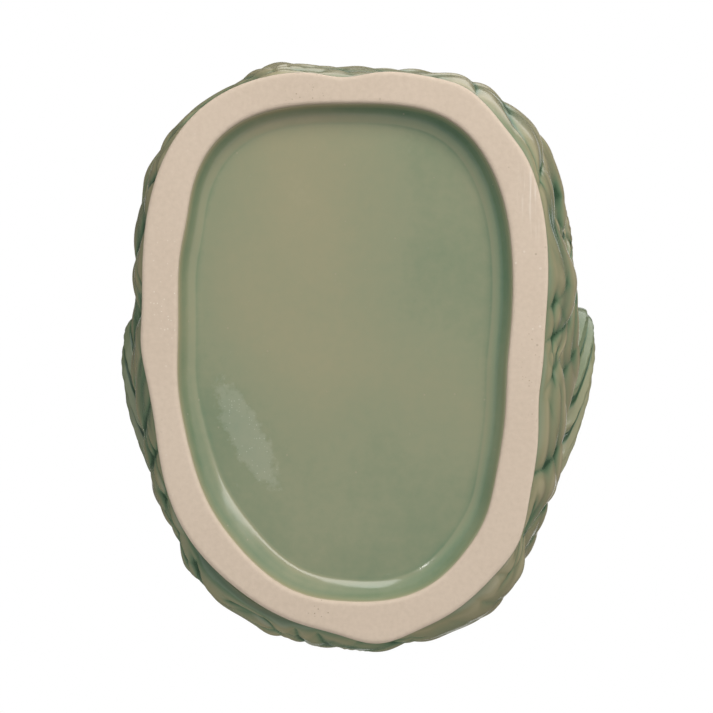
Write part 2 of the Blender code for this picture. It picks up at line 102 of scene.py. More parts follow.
# The wider section that it blends into away from the mouth: how far in, height, glaze depth
PANEL_WIDE_SECTION = (
    (-0.3, 1.0, 0.05), (0.05, 1.2, 0.12), (0.22, 1.5, 0.34), (0.5, 1.93, 0.46), (0.85, 2.3, 0.53),
    (1.25, 2.64, 0.57), (1.7, 2.99, 0.53), (2.15, 3.335, 0.50), (2.6, 3.68, 0.52), (3.05, 4.025, 0.49),
    (3.45, 4.33, 0.41), (3.8, 4.595, 0.33), (4.05, 4.76, 0.27), (4.3, 4.875, 0.29), (4.55, 4.935, 0.40),
    (4.9, 4.957, 0.50), (5.4, 4.96, 0.50),
)
PANEL_WIDE_AT, PANEL_WIDE_SPREAD = radians(122), radians(43)
# Share of the mouthward painted shade left off on the fish's right, where the wall is lit
PANEL_LIT_WALL = 0.6
# Where the fillet is stretched or drawn together, in degrees: angle, spread, share
PANEL_STRETCH = ((0, 35, 0.14), (205, 40, -0.16))
# Glaze depth in the middle of the panel, how much more lies at its edge, and its unevenness in the fillet
PANEL_GLAZE, PANEL_EDGE_GLAZE, PANEL_UNEVEN = 0.48, 0.03, 0.04
PANEL_TOP_GLAZE = 0.5

# Wave skirt round the foot
WAVES = 10
WAVE_FOOT = 0.02
WAVE_EDGES = (0.70, 1.30)
WAVE_CREST = 0.48
WAVE_THIN = 1.1 * MM
WAVE_THICK = (4.3 * MM, 3.6 * MM)
WAVE_LEAN = 0.22
# Where the skirt is thicker or thinner than elsewhere, in degrees: angle, spread, share
WAVE_SWELLS = ((-109, 8, 0.75), (-60, 12, 0.50), (-42, 9, 0.75), (-26, 4, -0.18), (-14, 5, 0.22),
               (26, 4, 0.22), (41, 4, 0.22), (52, 15, 0.50), (69, 5, 0.22), (120, 8, -0.38), (136, 4, 0.22),
               (162, 5, -0.16), (190, 5, -0.35), (215, 4, 0.20), (222, 18, 0.42))
# Where the folds are smoothed away, in degrees: angle, spread, share
WAVE_SMOOTH = ((-88, 36, 0.65), (2, 20, 0.50), (58, 16, 0.65), (106, 14, 0.55))
# Painted light towards the mouth, painted shade at the back and back right, in degrees: angle, spread, depth
WAVE_LIGHT_AND_SHADE = ((-92, 20, -0.20), (84, 10, 0.30), (140, 12, 0.15))
# Folds, and the smaller ones that lean the other way: height, number to a wave, lean
WAVE_FOLD, WAVE_FOLDS, FOLD_LEAN = 1.4 * MM, 2.6, 0.7
WAVE_FACET, WAVE_FACETS, FACET_LEAN = 0.45 * MM, 3.7, -1.5
WAVE_CREASE = 0.7 * MM
WAVE_RIPPLE = 0.34 * MM
WAVE_ROLL = 0.4 * MM
WAVE_BACK = -1.0 * MM
# Behind a crest: how far past it in ribs, how much lower; and where its hollow underside ends
WAVE_DROPS = ((0.022, 0.25 * MM), (0.034, 0.9 * MM))
WAVE_UNDER = 0.030
WAVE_LINES = (30, 24)

# Scales
SCALE_COLUMNS = 14
SCALE_ROWS = 8
SCALE_TOP = 6.0
SCALE_PITCH = 0.53
SCALE_STEP = 1.7 * MM
SCALE_DOME = 0.45 * MM
SCALE_RAY = 0.10 * MM
SCALE_RING = 0.07 * MM
SCALE_LINES = 4.5
SCALE_SHARES = (0.0, 0.05, 0.15, 0.3, 0.45, 0.6, 0.74, 0.86, 0.94, 0.985, 1.0)
TRUNK_WORN = 0.18 * MM

# Fins laid on the body, much as in the solids, with their least glaze depth and how much painted shade
# darkens the edge towards the mouth
PECTORAL = dict(u=radians(13), s=3.8, rays=(-26, 22), sweep=18, length=53 * MM, lift=6.2 * MM, count=8,
                glaze=0.30, mouth_edge_shade=0.24)
RIGHT_PECTORAL = dict(PECTORAL, lift=7.2 * MM, mouth_edge_shade=0.0)
PELVIC = dict(u=radians(-62), s=3.2, rays=(-24, 20), sweep=14, length=33 * MM, lift=2.2 * MM, count=5,
              glaze=0.0, mouth_edge_shade=0.0)
FIN_EDGE = 0.7 * MM
FIN_RAY = 0.55 * MM
FIN_FORK = 0.22 * MM
FIN_JOINT = 0.07 * MM
FIN_BACK = -0.8 * MM
FIN_ROOT = 0.10
FIN_FULL_LIFT = 0.75
FIN_TIP_ROUND, FIN_SIDE_ROUND, FIN_THINNEST = 0.06, 0.05, 0.08
FIN_RAY_LINES = 24
RIB_PITCH = 27 * MM
SKIN_RADIUS = 47 * MM

# Head pieces
GILL_U, GILL_S = radians(-8), 6.72
GILL_SPAN_U, GILL_SPAN_S = radians(42), 0.82
GILL_EDGE = 1.7 * MM
GILL_LIFT = 2.2 * MM
GILL_CRESCENTS = 3.2
GILL_STEP = 0.9 * MM
GILL_RAY = 0.09 * MM
GILL_RIM = 0.7 * MM
GILL_GROOVE = 0.55 * MM
GILL_BACK = -1.0 * MM
EYE_U, EYE_S = radians(30), 7.85
EYE_RADIUS = 9.0 * MM
EYE_HEIGHT = 4.6 * MM
EYE_RIM = 0.9 * MM
# Section of an eye: share of its radius, share of its height
EYE_PROFILE = (
    (0.3, -0.3), (1.02, -0.3), (1.02, 0.10), (1.0, 0.24), (0.96, 0.36), (0.90, 0.43), (0.84, 0.43),
    (0.79, 0.38), (0.755, 0.32), (0.73, 0.34), (0.70, 0.46), (0.66, 0.57), (0.60, 0.69), (0.54, 0.77),
    (0.50, 0.80), (0.475, 0.78), (0.45, 0.80), (0.42, 0.85), (0.37, 0.90), (0.31, 0.93), (0.27, 0.92),
    (0.245, 0.86), (0.20, 0.83), (0.10, 0.82), (0.02, 0.82),
)
# Places of the nostrils and pores, and the radius, depth and rim of each
NOSTRILS = ((radians(64), 8.42),)
NOSTRIL = (1.4 * MM, 1.1 * MM, 0.5 * MM)
PORES = tuple((radians(-14 - 11 * k), 8.18 - 0.035 * k * k) for k in range(5))
PORE = (0.8 * MM, 0.55 * MM, 0.12 * MM)
JAW_CREASE = 0.55 * MM
LIP_GROOVE, LIP_GROOVE_S = 0.6 * MM, 8.80
HEAD_WORN = 0.16 * MM
HEAD_RADIUS = 36 * MM
HEAD_PITCH = 22 * MM
LIP_INSIDE = -6.0 * MM
LIP_OUTSIDE = 3.2 * MM
LIP_HEIGHT = 6.4 * MM
LIP_CREASE = 0.14 * MM
LIP_WORN = 0.2 * MM
SPOUT_REACH = 5.2 * MM
SPOUT_SPREAD = radians(34)
UPPER_LIP_ENDS = (radians(20.4), radians(159.6))
LOWER_LIP_ENDS = (radians(159.4), radians(380.6))
DORSAL_SPAN = (7.25, 8.65)
DORSAL_HEIGHT = 13 * MM
DORSAL_HALF_ANGLE = radians(9)
DORSAL_SPINES = 6
DORSAL_WEB = 0.22
DORSAL_RAKE = 0.10

# Tail in millimetres: y, z, half depth, half width
TAIL = MM * np.array([
    (30.0, 38.0, 22.0, 29.0),
    (45.5, 57.0, 18.0, 23.0),
    (56.0, 82.0, 14.5, 16.0),
    (59.5, 108.0, 12.0, 12.5),
    (58.5, 132.0, 11.5, 10.5),
    (54.5, 152.0, 12.0, 9.5),
])
TAIL_SCALE_COLUMNS = 6
TAIL_SCALE_ROWS = 7
TAIL_SCALE_STEP = 1.0 * MM
TAIL_SCALE_DOME = 0.25 * MM
TAIL_SCALE_START = 1.0
TAIL_FIN_LENGTH = 44 * MM
TAIL_FIN_SPREAD = 28.2 * MM
TAIL_FIN_TIP = 2.8 * MM
TAIL_FIN_NOTCH = 0.30
TAIL_FIN_RAYS = 9
TRIM_DEPTH = -0.8 * MM

# Glaze depth with painted shade: the reaches over which a point is compared with its surroundings, and the
# range of each; the short reach finds glaze pooled in creases, the long one darkens broad hollows partly as
# painted shade
POOL_AND_SHADE_REACHES = ((1.3 * MM, 0.95 * MM), (4.0 * MM, 2.6 * MM))
# Name of the stored glaze depth, which also holds painted shade and light
DEPTH_NAME = "glaze_and_shade_depth"

# Camera under the jug, as in the photograph: picture size and where the foot's middle falls, in pixels
PICTURE = 713
FOOT_MIDDLE = (345.1, 353.0)
PIXELS_PER_MM = 4.768
CAMERA_DISTANCE = 0.65
CAMERA_YAW = radians(3)
CAMERA_ROLL = radians(0.23)
SENSOR = 36.0


def along(table, s):
    """Smooth row of a table at fractional position s."""
    last = len(table) - 1
    s = np.clip(np.asarray(s, float), 0, last)
    i = np.minimum(s.astype(int), last - 1)
    f = (s - i)[..., None]
    a = table[np.maximum(i - 1, 0)]
    b = table[i]
    c = table[i + 1]
    d = table[np.minimum(i + 2, last)]
    return b + 0.5 * f * (c - a + f * (2 * a - 5 * b + 4 * c - d + f * (3 * (b - c) + d - a)))


def oval(u, square):
    """Points of a unit superellipse at angle u."""
    r = (np.abs(np.cos(u)) ** square + np.abs(np.sin(u)) ** square) ** (-1 / square)
    return r * np.cos(u), r * np.sin(u)


def bump(u, centre, spread):
    """Smooth hill of height 1 round an angle."""
    away = (u - centre + pi) % (2 * pi) - pi
    return np.exp(-(away / spread) ** 2)


def hills(u, table):
    """Sum of hills given by their angles and spreads in degrees, and heights."""
    return sum(high * bump(u, radians(at), radians(spread)) for at, spread, high in table)


def skin(u, s, grow=0.0):
    """Points at angle u and rib position s, moved out of the skin by grow."""
    u, s, grow = np.broadcast_arrays(u, s, grow)
    front_y, front_z, back_y, back_z, half_width = np.moveaxis(along(RIBS, s), -1, 0)
    square, egg = np.moveaxis(along(RIB_SHAPE, s), -1, 0)
    for at, rib, wide, long, high in HEAD_SWELLS:
        both_sides = bump(u, at, wide) + bump(u, pi - at, wide)
        grow = grow + high * both_sides * np.exp(-((s - rib) / long) ** 2)
    across, ahead = oval(u, square)
    half_y = (back_y - front_y) / 2
    half_z = (back_z - front_z) / 2
    stretch = ahead * (1 + grow / np.hypot(half_y, half_z))
    x = (half_width + grow) * across * (1 - egg * ahead)
    y = (front_y + back_y) / 2 + half_y * stretch
    z = (front_z + back_z) / 2 + half_z * stretch
    return np.stack([x, y, z], axis=-1)


def turn(count):
    """Angles evenly round a turn, mirrored about zero."""
    return (np.arange(count) + 0.5) * 2 * pi / count


def smooth_step(x, low, high):
    """Rise from 0 at low to 1 at high."""
    t = np.clip((x - low) / (high - low), 0, 1)
    return t * t * (3 - 2 * t)


def hand(a, b, scale, seed):
    """Gentle unevenness of handwork between -1 and 1 over two coordinates."""
    total = 0.0
    for i in range(1, 5):
        way = 1.7 * i + 0.9 * seed
        total = total + np.sin(scale * (a * cos(way) + b * sin(way)) * (1 + 0.37 * i) + 2.3 * seed * i)
    return total / 4


# Meshes

def blur(points, axis, passes, wrap):
    """Points averaged with their neighbours along one axis of a grid."""
    points = np.moveaxis(points, axis, 0)
    ends = [(1, 1)] + [(0, 0)] * (points.ndim - 1)
    for _ in range(passes):
        wide = np.pad(points, ends, mode="wrap" if wrap else "edge")
        points = 0.25 * wide[:-2] + 0.5 * points + 0.25 * wide[2:]
    return np.moveaxis(points, 0, axis)


def slopes(points, axis, wrap):
    """Step from neighbour to neighbour along one axis of a grid."""
    if wrap:
        return (np.roll(points, -1, axis) - np.roll(points, 1, axis)) / 2
    return np.gradient(points, axis=axis)


def glaze_and_shade_depth(points, wrap):
    """Share of glaze lying at each point of a grid, 0 on ridges, 1 in hollows: pooled glaze, with painted
    shade in broad hollows.
    """
    steps = (slopes(points, 0, wrap), slopes(points, 1, True))
    facing = np.cross(*steps)
    if np.sum(facing * (points - points.mean((0, 1)))) < 0:
        facing = -facing
    facing = facing / (np.linalg.norm(facing, axis=-1, keepdims=True) + 1e-15)
    depth = 0.5
    for reach, full in POOL_AND_SHADE_REACHES:
        around = points
        for axis, wrapped in ((0, wrap), (1, True)):
            pitch = np.median(np.linalg.norm(steps[axis], axis=-1))
            passes = int(np.clip(2 * (reach / max(pitch, 1e-5)) ** 2, 1, 240))
            around = blur(around, axis, passes, wrapped)
        depth = depth + np.sum((around - points) * facing, axis=-1) / full
    return np.clip(depth, 0, 1)


def loft(rings, wrap):
    """Vertices and faces of a closed skin through like rings, its ends capped by strips."""
    rows, cols = rings.shape[:2]
    faces = []
    for r in range(rows if wrap else rows - 1):
        here = r * cols
        there = (r + 1) % rows * cols
        for c in range(cols):
            d = (c + 1) % cols
            faces.append((here + c, here + d, there + d, there + c))
    if not wrap:
        for start in (0, (rows - 1) * cols):
            for c in range(cols // 2 - 1):
                far = start + cols - 1 - c
                faces.append((start + c, start + c + 1, far - 1, far))
    return rings.reshape(-1, 3), faces


def add_object(name, data):
    """Object in the scene that shows the given data."""
    made = bpy.data.objects.new(name, data)
    bpy.context.scene.collection.objects.link(made)
    return made


def make_object(name, rings, wrap=False, pool=None):
    """Object from a grid of rings, facing out, smooth, with its glaze depth and painted shade stored on the
    points.
    """
    verts, faces = loft(rings, wrap)
    mesh = bpy.data.meshes.new(name)
    mesh.from_pydata(verts.tolist(), [], faces)
    if pool is not None:
        depth = mesh.attributes.new(DEPTH_NAME, "FLOAT", "POINT")
        depth.data.foreach_set("value", np.ascontiguousarray(pool, np.float32).ravel())
    bm = bmesh.new()
    bm.from_mesh(mesh)
    bmesh.ops.remove_doubles(bm, verts=bm.verts, dist=1e-7)
    bmesh.ops.recalc_face_normals(bm, faces=bm.faces)
    bm.to_mesh(mesh)
    bm.free()
    mesh.shade_smooth()
    return add_object(name, mesh)


def piece(node, rings, finish, wrap=False, pool=None, thinnest=0.0):
    """Visual piece that stands for one node of the frame; its glaze lies at least as deep as thinnest."""
    if pool is None:
        pool = np.maximum(glaze_and_shade_depth(rings, wrap), thinnest)
    material, slot = finish
    made = make_object(node + "_glazed", rings, wrap, pool)
    made.data.materials.append(material)
    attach(made, "root")
    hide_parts(node)
    return made


def mirrored(rings):
    """Same rings on the fish's right."""
    return rings * (-1, 1, 1)


def trim(target, rings):
    """Cut away what lies inside a closed loft."""
    tool = make_object("trim", rings)
    cut = target.modifiers.new("trim", "BOOLEAN")
    cut.operation = "DIFFERENCE"
    cut.solver = "EXACT"
    cut.object = tool
    bpy.context.view_layer.update()
    ready = target.evaluated_get(bpy.context.evaluated_depsgraph_get())
    result = bpy.data.meshes.new_from_object(ready)
    target.modifiers.remove(cut)
    target.data = result
    result.shade_smooth()
    bpy.data.objects.remove(tool)


# Foot

def outline(u, shape, grow):
    """Hand-shaped oval at angle u, moved out by grow in millimetres, as x and y."""
    half_width, half_length, square, swells = shape
    across, ahead = oval(u, square)
    x = MM * (half_width + grow) * across * (1 - FOOT_EGG * ahead)
    y = MM * (half_length + grow) * ahead
    stretch = 1 + MM * hills(np.arctan2(y, x), swells) / np.hypot(x, y)
    return np.stack([x * stretch, y * stretch], axis=-1)


def level_ring(xy, z):
    """Ring of points at one height, or at a height for each."""
    return np.concatenate([xy, (z + np.zeros(len(xy)))[:, None]], axis=-1)


def foot_line(u, shape, grow, z):
    """Ring of points on an outline moved out by grow, at a height, in millimetres."""
    return level_ring(outline(u, shape, grow), z * MM)


def foot_ring_rings():
    """Foot ring with softly rounded edges on both sides of its ground face, and how far out each line is."""
    u = turn(320)
    lines = [foot_line(u, FOOT, -inset, z) for inset, z in FOOT_FLANK + FOOT_ROUNDING]
    outside = lines[-1]
    inside = foot_line(u, RECESS, FOOT_ROUNDING[-1][0], 0.0)
    lines += [outside + (inside - outside) * share for share in np.linspace(0, 1, 8)[1:-1]]
    lines += [foot_line(u, RECESS, inset, z) for inset, z in reversed(FOOT_ROUNDING)]
    lines += [foot_line(u, RECESS, 0, z) for z in FOOT_INSIDE]
    outward = smooth_step(np.arange(len(lines)), len(lines) * 0.6, len(lines) * 0.4)
    return np.stack(lines, axis=1), np.broadcast_to(outward, (len(u), len(lines)))


def base_panel_rings():
    """Sunk panel with a hollow fillet, a slightly uneven face and the floor of the water space."""
    u = turn(240)
    wide = bump(u, PANEL_WIDE_AT, PANEL_WIDE_SPREAD)
    stretch = 1 + hills(u, PANEL_STRETCH)
    edge = outline(u, RECESS, -PANEL_SECTION[-1][0] * stretch)
    rings = []
    depths = []
    for share in np.linspace(0.0, 0.98, 27):
        ring = level_ring(edge * share, PANEL_SECTION[-1][1] * MM)
        ring[:, 2] += PANEL_WAVE * hand(ring[:, 0], ring[:, 1], 90, 1) * smooth_step(share, 1, 0.85)
        rings.append(ring)
        depths.append(PANEL_GLAZE + PANEL_EDGE_GLAZE * share ** 3 + 0 * u)
    for near, far in zip(reversed(PANEL_SECTION), reversed(PANEL_WIDE_SECTION)):
        inset, z, depth = (a + (b - a) * wide for a, b in zip(near, far))
        rings.append(foot_line(u, RECESS, -inset * stretch, z))
        # Painted shade on the walls turned from the light, towards the mouth and on the fish's left; painted
        # light on the lit walls
        painted_light = near[3] * (np.sin(u) + PANEL_LIT_WALL * np.maximum(-np.cos(u), 0))
        pool = (near[4] * np.maximum(np.cos(u), 0) - painted_light) * (1 - wide)
        depths.append(depth + pool + PANEL_UNEVEN * hand(np.cos(u), np.sin(u), 9, 2))
    top = skin(u, 0.0, -WALL)[:, :2]
    rings.append(level_ring(top, FOOT_HEIGHT))
    rings += [level_ring(top * share, PANEL_TOP) for share in (1.0, 0.9, 0.5, 0.0)]
    depths += [PANEL_TOP_GLAZE + 0 * u] * (len(rings) - len(depths))
    return np.stack(rings), np.stack(depths)


# Wave skirt

def wave(phase):
    """Hump that rises slowly and falls fast, once for each whole phase."""
    return np.sin(pi * (phase % 1) ** 1.7)


def folds(phase, a):
    """Rounded folds between sharp creases, uneven and leaning as they rise: 0 in a crease, 1 on a fold."""
    uneven = 0.30 * np.sin(2 * pi * 0.7 * phase) + 0.22 * np.sin(2 * pi * 1.3 * phase + 1.1)
    return np.abs(np.sin(pi * (WAVE_FOLDS * phase + uneven + FOLD_LEAN * a))) ** 0.8


def facets(phase, a):
    """Smaller folds that lean the other way and cut the large ones into facets."""
    uneven = 0.5 * np.sin(2 * pi * 0.7 * phase + 0.5)
    return np.abs(np.sin(pi * (WAVE_FACETS * phase + uneven + FACET_LEAN * a))) ** 0.9


def wave_tier(phase, start, crest, thick, rough, lines):
    """Lines up one tier of waves, swelling in folds to a rolled crest: rib position, thickness, painted
    shade.
    """
    local = phase % 1
    swell = 0.72 + 0.28 * np.sin(pi * local ** 0.8)
    strength = 0.75 + 0.25 * np.sin(2 * pi * 0.4 * phase + 0.6)
    level = 0.45 + 0.14 * np.sin(2 * pi * 1.1 * phase + 0.4)
    open_ = smooth_step(np.sin(2 * pi * 0.9 * phase + 2.0), -0.3, 0.6)
    calm = 0.55 + 0.45 * np.sin(2 * pi * 0.3 * phase + 1.0)
    bend = 0.5 * np.sin(2 * pi * 0.8 * phase) + 0.9 * local
    rows = []
    for a in np.linspace(0, 1, lines):
        body = WAVE_THIN + (thick * swell - WAVE_THIN) * np.sin(pi / 2 * a ** 0.7)
        fold = WAVE_FOLD * strength * (folds(phase, a) - 0.6) * smooth_step(a, 0.0, 0.3)
        fold = fold + WAVE_FACET * calm * (facets(phase, a) - 0.6) * smooth_step(a, 0.1, 0.4)
        crease = -WAVE_CREASE * open_ * np.exp(-((a - level) / 0.06) ** 2)
        ripple = WAVE_RIPPLE * calm * np.sin(2 * pi * (2.4 * a + bend)) * smooth_step(a, 0.1, 0.4)
        roll = WAVE_ROLL * smooth_step(a, 0.75, 0.95)
        high = body + rough * (fold + crease + ripple) + roll
        # Darker near the foot: pooled glaze and painted shade in the gap by the foot ring
        rows.append((start + (crest - start) * a, high, 0.45 * smooth_step(a, 0.3, 0.05)))
    for past, drop in WAVE_DROPS:
        rows.append((crest + past, rows[-1][1] - drop, 0.0))
    # Painted shade under the rolled crest
    rows.append((crest + WAVE_UNDER, WAVE_THIN, 0.2))
    return rows


def skirt_rings():
    """Two tiers of breaking waves round the foot, one section for each angle, and their glaze depth with
    painted shade and light.
    """
    u = turn(WAVES * 90)
    phase = u * WAVES / (2 * pi)
    heavy = 1 + WAVE_LEAN * np.sin(u) + hills(u, WAVE_SWELLS)
    low = WAVE_EDGES[0] + WAVE_CREST * wave(phase)
    high = WAVE_EDGES[1] + WAVE_CREST * wave(phase + 0.5)
    rough = 1 - hills(u, WAVE_SMOOTH)
    lines = wave_tier(phase, WAVE_FOOT + 0 * u, low, WAVE_THICK[0] * heavy, rough, WAVE_LINES[0])
    lines += wave_tier(phase + 0.5, low + WAVE_UNDER, high, WAVE_THICK[1] * heavy, rough, WAVE_LINES[1])
    lines += [(WAVE_FOOT + (high - WAVE_FOOT) * share, WAVE_BACK, 0.0) for share in (1.0, 0.7, 0.35, 0.0)]
    rings = np.stack([skin(u, s, thick) for s, thick, _ in lines], axis=1)
    shade = np.stack([shade + 0 * u for _, _, shade in lines], axis=1)
    return rings, np.clip(glaze_and_shade_depth(rings, True) + shade + hills(u, WAVE_LIGHT_AND_SHADE)[:, None], 0, 1)


# Scales

def scale_edge(column, row):
    """Row position of the rounded free edge of a row of scales."""
    off = np.abs((column + 0.5 * (row % 2)) % 1 - 0.5)
    return row + 0.5 + 0.5 * np.sqrt(np.maximum(0, 1 - (2 * off) ** 2))


def scale_lines(column, rows, step, dome):
    """Lines of points down a scaled skin: row position and height above the skin."""
    lines = [(np.zeros_like(column), np.zeros_like(column))]
    for row in range(rows):
        above = scale_edge(column, row - 1) if row else np.full_like(column, 0.15)
        edge = scale_edge(column, row)
        off = 2 * np.abs((column + 0.5 * (row % 2)) % 1 - 0.5)
        for share in SCALE_SHARES:
            drop = (1 - share) ** 0.85 + 0.22 * smooth_step(share, 0.93, 1.0)
            arch = dome * (1 - off ** 2) * smooth_step(share, 0.0, 0.7)
            rings = SCALE_RING * np.sin(2 * pi * SCALE_LINES * share) * smooth_step(share, 0.2, 0.5)
            rays = SCALE_RAY * np.cos(2 * pi * SCALE_LINES * off) * smooth_step(share, 0.4, 0.8)
            lines.append((above + (edge - above) * share, arch + rings + rays - step * drop))
    return lines


def shell_rings(outer, u, low, high, count):
    """Closed section of a hollow piece: its outer lines down, then its inner wall back up."""
    inner = [skin(u, s, -WALL) for s in np.linspace(low, high, count)]
    return np.stack(list(outer) + inner)


def trunk_rings():
    """Trunk from the neck to the foot with overlapping scales."""
    u = turn(SCALE_COLUMNS * 32)
    column = u * SCALE_COLUMNS / (2 * pi)
    worn = TRUNK_WORN * hand(np.cos(u) * 3, np.sin(u) * 3, 1.4, 5)
    outer = [skin(u, s) for s in (S_NECK + 0.01, 6.2, 6.08)]
    for row, high in scale_lines(column, SCALE_ROWS, SCALE_STEP, SCALE_DOME):
        outer.append(skin(u, SCALE_TOP - SCALE_PITCH * row, high + worn))
    outer += [skin(u, s) for s in (1.2, 0.6, 0.0)]
    return shell_rings(outer, u, 0.0, S_NECK, 30)


# Head

def pits(u, s, places, radius, depth, rim):
    """Small pits on the head with raised rims, the same on both sides."""
    high = 0.0
    for at, rib in places:
        for side in (at, pi - at):
            off = (u - side + pi) % (2 * pi) - pi
            away = np.hypot(off * HEAD_RADIUS, (s - rib) * HEAD_PITCH) / radius
            high = high - depth * np.exp(-away ** 2) + rim * np.exp(-((away - 1.7) / 0.6) ** 2)
    return high


def face_lines(u, s):
    """Creases of the face: behind the lips, under the jaw and round the eyes."""
    from_side = np.abs((u + pi / 2) % (2 * pi) - pi) - pi / 2
    jaw = s - (8.05 - 0.55 * np.cos(from_side * 1.5))
    high = -JAW_CREASE * np.exp(-(jaw / 0.06) ** 2) * smooth_step(np.sin(u), 0.35, -0.2)
    high = high - LIP_GROOVE * np.exp(-((s - LIP_GROOVE_S) / 0.07) ** 2)
    for side in (EYE_U, pi - EYE_U):
        away = np.hypot((u - side) * HEAD_RADIUS, (s - EYE_S) * HEAD_PITCH) / EYE_RADIUS
        high = high + EYE_RIM * np.exp(-((away - 1.25) / 0.16) ** 2)
    return high


def head_rings():
    """Head from the neck to the rim of the mouth, with nostrils, pores and creases, and the throat inside."""
    u = turn(360)
    outer = []
    for s in np.linspace(S_LIP, S_NECK + 0.01, 130):
        worn = HEAD_WORN * hand(np.cos(u) * 4, np.sin(u) * 4 + s * 2, 1.1, 7)
        holes = pits(u, s, NOSTRILS, *NOSTRIL) + pits(u, s, PORES, *PORE)
        outer.append(skin(u, s, holes + face_lines(u, s) + worn))
    return shell_rings(outer, u, S_NECK, S_LIP, 20)


def mouth_way():
    """Way out of the mouth, square to the plane of its rim."""
    front_y, front_z, back_y, back_z = RIBS[S_LIP][:4]
    way = np.array([0.0, front_z - back_z, back_y - front_y])
    return way / np.linalg.norm(way)


def lip_rings(ends, reach):
    """Rolled lip on the rim of the mouth, finely creased across."""
    share = np.linspace(0, 1, 200)[:, None]
    u = ends[0] + (ends[1] - ends[0]) * share
    arc = np.linspace(-0.12, pi + 0.12, 36)
    taper = np.sin(pi * np.clip(share, 0.002, 0.998)) ** 0.35
    out = LIP_OUTSIDE * (0.4 + 0.6 * taper) + reach * bump(u, radians(270), SPOUT_SPREAD)
    crease = LIP_CREASE * np.sin(u * 46 + 1.5 * np.sin(u * 5)) * np.sin(np.clip(arc, 0, pi)) * taper
    worn = LIP_WORN * hand(np.cos(u) * 3 + arc * 0.3, np.sin(u) * 3, 1.5, 9)
    grow = (LIP_INSIDE + out) / 2 + ((out - LIP_INSIDE) / 2 + crease + worn) * np.cos(arc)
    high = (LIP_HEIGHT * (0.45 + 0.55 * taper) + crease + worn) * np.sin(arc)
    return skin(u, S_LIP, grow) + high[..., None] * mouth_way()


def gill_ridges(across, up):
    """Ridges of a gill plate in its own plane: overlapping crescents with fine rays across them."""
    out = np.hypot(across, up - 0.8)
    aim = np.arctan2(across, 0.8 - up)
    climb = (GILL_CRESCENTS * out) % 1
    crescents = GILL_STEP * (climb - 0.5) * smooth_step(climb, 1.0, 0.84) * smooth_step(out, 0.1, 0.3)
    rays = GILL_RAY * np.cos(34 * aim) * smooth_step(out, 0.2, 0.6)
    return crescents + rays


def gill_rings():
    """Gill plate: thin towards the mouth, ridged in crescents, raised and rolled at its free edge."""
    round_ = turn(300)
    tailward = (1 - np.sin(round_)) / 2
    edge = GILL_EDGE + GILL_LIFT * tailward
    rows = [(share, GILL_BACK + 0 * round_) for share in (0.0, 0.6, 0.985)]
    rows += [(1.0, 0.2 * edge), (1.0, 0.75 * edge), (0.985, edge + 0.1 * MM)]
    middle = GILL_EDGE + GILL_LIFT * 0.5
    for share in np.append(np.linspace(0.97, 0.02, 90), 0.0):
        rim = GILL_RIM * np.exp(-((share - 0.93) / 0.05) ** 2)
        groove = -GILL_GROOVE * np.exp(-((share - 0.80) / 0.05) ** 2)
        inside = smooth_step(share, 0.84, 0.72)
        ridges = gill_ridges(share * np.cos(round_), share * np.sin(round_)) * inside
        rows.append((share, middle + (edge - middle) * share + rim + groove + ridges))
    rings = []
    for share, high in rows:
        u = GILL_U + GILL_SPAN_U * share * np.cos(round_) * (0.8 + 0.4 * tailward)
        s = GILL_S + GILL_SPAN_S * share * np.sin(round_)
        rings.append(skin(u, s, high))
    return np.stack(rings)


def eye_rings():
    """Domed eye within a raised rim, with the iris line and pupil pressed in."""
    round_ = turn(96)
    rings = []
    for share, high in EYE_PROFILE:
        u = EYE_U + EYE_RADIUS / HEAD_RADIUS * share * np.cos(round_)
        s = EYE_S + EYE_RADIUS / HEAD_PITCH * share * np.sin(round_)
        rings.append(skin(u, s, EYE_HEIGHT * high))
    return np.stack(rings)


# Fins

def fin_across(fin):
    """Positions across a fin, from its mouthward edge, -1, to its other edge, 1."""
    return np.linspace(-1, 1, FIN_RAY_LINES * fin["count"] + 1)


def fin_glaze(fin):
    """Least glaze depth on each line of a fin, with painted shade at the edge towards the mouth."""
    depth = fin["glaze"] + fin["mouth_edge_shade"] * smooth_step(fin_across(fin), -0.35, -0.75)
    return np.append(depth, depth[::-1])


def fin_rings(fin):
    """Fan of rounded rays with thin webs between them, laid on the body and lifted to a scalloped tip."""
    first, last = fin["rays"]
    across = fin_across(fin)
    ray_wave = np.cos(pi * (fin["count"] - 1) * (across + 1))
    ridge = np.sqrt(0.5 + 0.5 * ray_wave)
    length = fin["length"] * (1 - 0.22 * np.abs(across) ** 2.5) * (1 - 0.07 * (1 - ridge))
    out = np.linspace(FIN_ROOT, 1.0, 64)[:, None]
    ray = np.radians((first + last) / 2 + (last - first) / 2 * across + fin["sweep"] * out ** 2)
    u = fin["u"] + out * length * np.sin(ray) / SKIN_RADIUS
    s = fin["s"] - out * length * np.cos(ray) / RIB_PITCH
    lift = fin["lift"] * np.sin(pi / 2 * np.minimum(1, out / FIN_FULL_LIFT)) * (1 - 0.7 * out ** 5)
    side = 1 - 0.6 * np.abs(across) ** 3
    rays = 1.3 * FIN_RAY * (ridge - 0.25) * np.sqrt(out)
    forked = FIN_FORK * np.cos(2 * pi * (fin["count"] - 1) * (across + 1)) * smooth_step(out, 0.45, 0.8)
    joints = FIN_JOINT * np.sin(out * 90) * ridge
    thick = FIN_EDGE + lift * side + rays + forked + joints
    thick = thick * np.sqrt(np.clip((1.0 - out) / FIN_TIP_ROUND, FIN_THINNEST, 1))
    thick = thick * np.sqrt(np.clip((1.0 - np.abs(across)) / FIN_SIDE_ROUND, FIN_THINNEST, 1))
    back = skin(u, s, FIN_BACK + 0 * thick)
    return np.concatenate([skin(u, s, thick), back[:, ::-1]], axis=1)


